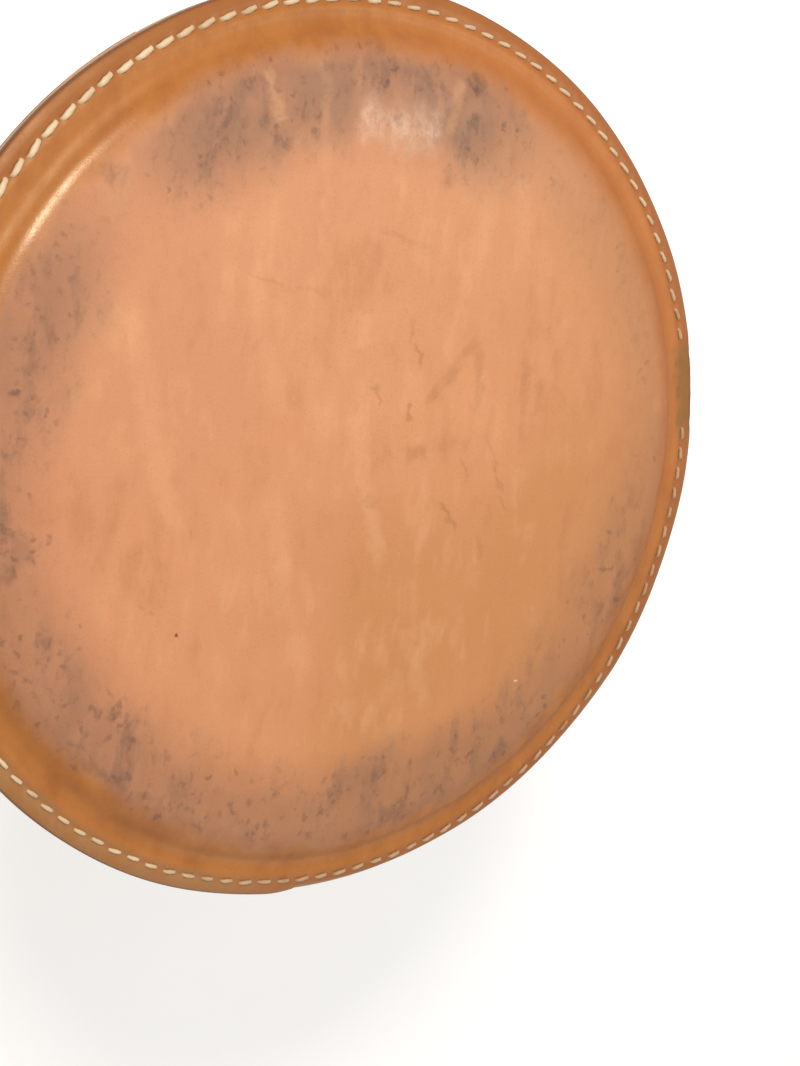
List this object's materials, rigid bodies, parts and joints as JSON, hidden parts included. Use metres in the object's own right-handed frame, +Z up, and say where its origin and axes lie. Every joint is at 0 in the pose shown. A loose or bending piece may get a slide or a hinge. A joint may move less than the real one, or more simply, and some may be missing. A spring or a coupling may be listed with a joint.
{
  "type": "folding three leg stool",
  "caption": "Folding field stool: a round stitched leather seat on crossed wooden legs that turn on a central hub and tuck into leather pockets under the rim.",
  "frame": {"origin": "on the floor, under the middle of the stool's bounding box; the seat's axis is 6.9 mm towards -Y from it", "axes": "+Z up through the seat; +Y towards the foot of leg_1; +X towards the foot of leg_3"},
  "size_m": [0.3262, 0.3394, 0.455],
  "materials": {
    "saddle_leather": "worn, polished saddle leather, paler and dry on the crown, with dark stains round it",
    "under_leather": "matt flesh side of vegetable tanned leather",
    "felt": "grey wool felt",
    "plywood": "bare birch plywood",
    "waxed_thread": "waxed linen thread",
    "ash": "oiled ash",
    "brass": "aged brass, satin",
    "steel": "plain steel, satin",
    "rubber": "black rubber, matt"
  },
  "bodies": {
    "leg_1": {"leg_1": "ash", "pivot_bush_1": "brass", "top_cap_1": "brass", "foot_ferrule_1": "brass", "rubber_foot_1": "rubber"},
    "leg_2": {"leg_2": "ash", "pivot_bush_2": "brass", "top_cap_2": "brass", "foot_ferrule_2": "brass", "rubber_foot_2": "rubber"},
    "leg_3": {"leg_3": "ash", "pivot_bush_3": "brass", "top_cap_3": "brass", "foot_ferrule_3": "brass", "rubber_foot_3": "rubber"},
    "hub": {"hub": "steel", "pivot_bolt_1": "steel", "inner_washer_1": "brass", "outer_washer_1": "brass", "dome_nut_1": "brass", "pivot_bolt_2": "steel", "inner_washer_2": "brass", "outer_washer_2": "brass", "dome_nut_2": "brass", "pivot_bolt_3": "steel", "inner_washer_3": "brass", "outer_washer_3": "brass", "dome_nut_3": "brass"},
    "seat": {"seat_top_leather": "saddle_leather", "seat_felt_pad": "felt", "seat_board": "plywood", "seat_bottom_leather": "under_leather", "seat_edge_stitching": "waxed_thread", "leg_pocket_1": "under_leather", "leg_pocket_2": "under_leather", "leg_pocket_3": "under_leather"}
  },
  "joints": [
    {"name": "leg_1_fold", "type": "hinge", "parent": "leg_1", "child": "hub", "pos_m": [-0.02188, -0.00376, 0.23959], "axis": [0.9901, -0.1406, 0], "range_deg": [0, 33]},
    {"name": "leg_2_fold", "type": "hinge", "parent": "hub", "child": "leg_2", "pos_m": [0.00825, -0.02737, 0.23959], "axis": [0.3732, -0.9277, 0], "range_deg": [0, 33]},
    {"name": "leg_3_fold", "type": "hinge", "parent": "hub", "child": "leg_3", "pos_m": [0.01363, 0.01053, 0.23959], "axis": [0.6168, 0.7871, 0], "range_deg": [0, 33]},
    {"name": "seat_lift", "type": "slide", "parent": "hub", "child": "seat", "axis": [0, 0, 1], "range_m": [0, 0.079]}
  ],
  "couplings": [
    {"joint": "leg_2_fold", "follows": "leg_1_fold", "ratio": 1},
    {"joint": "leg_3_fold", "follows": "leg_1_fold", "ratio": 1},
    {"joint": "seat_lift", "follows": "leg_1_fold", "m_per_rad": 0.13645}
  ]
}
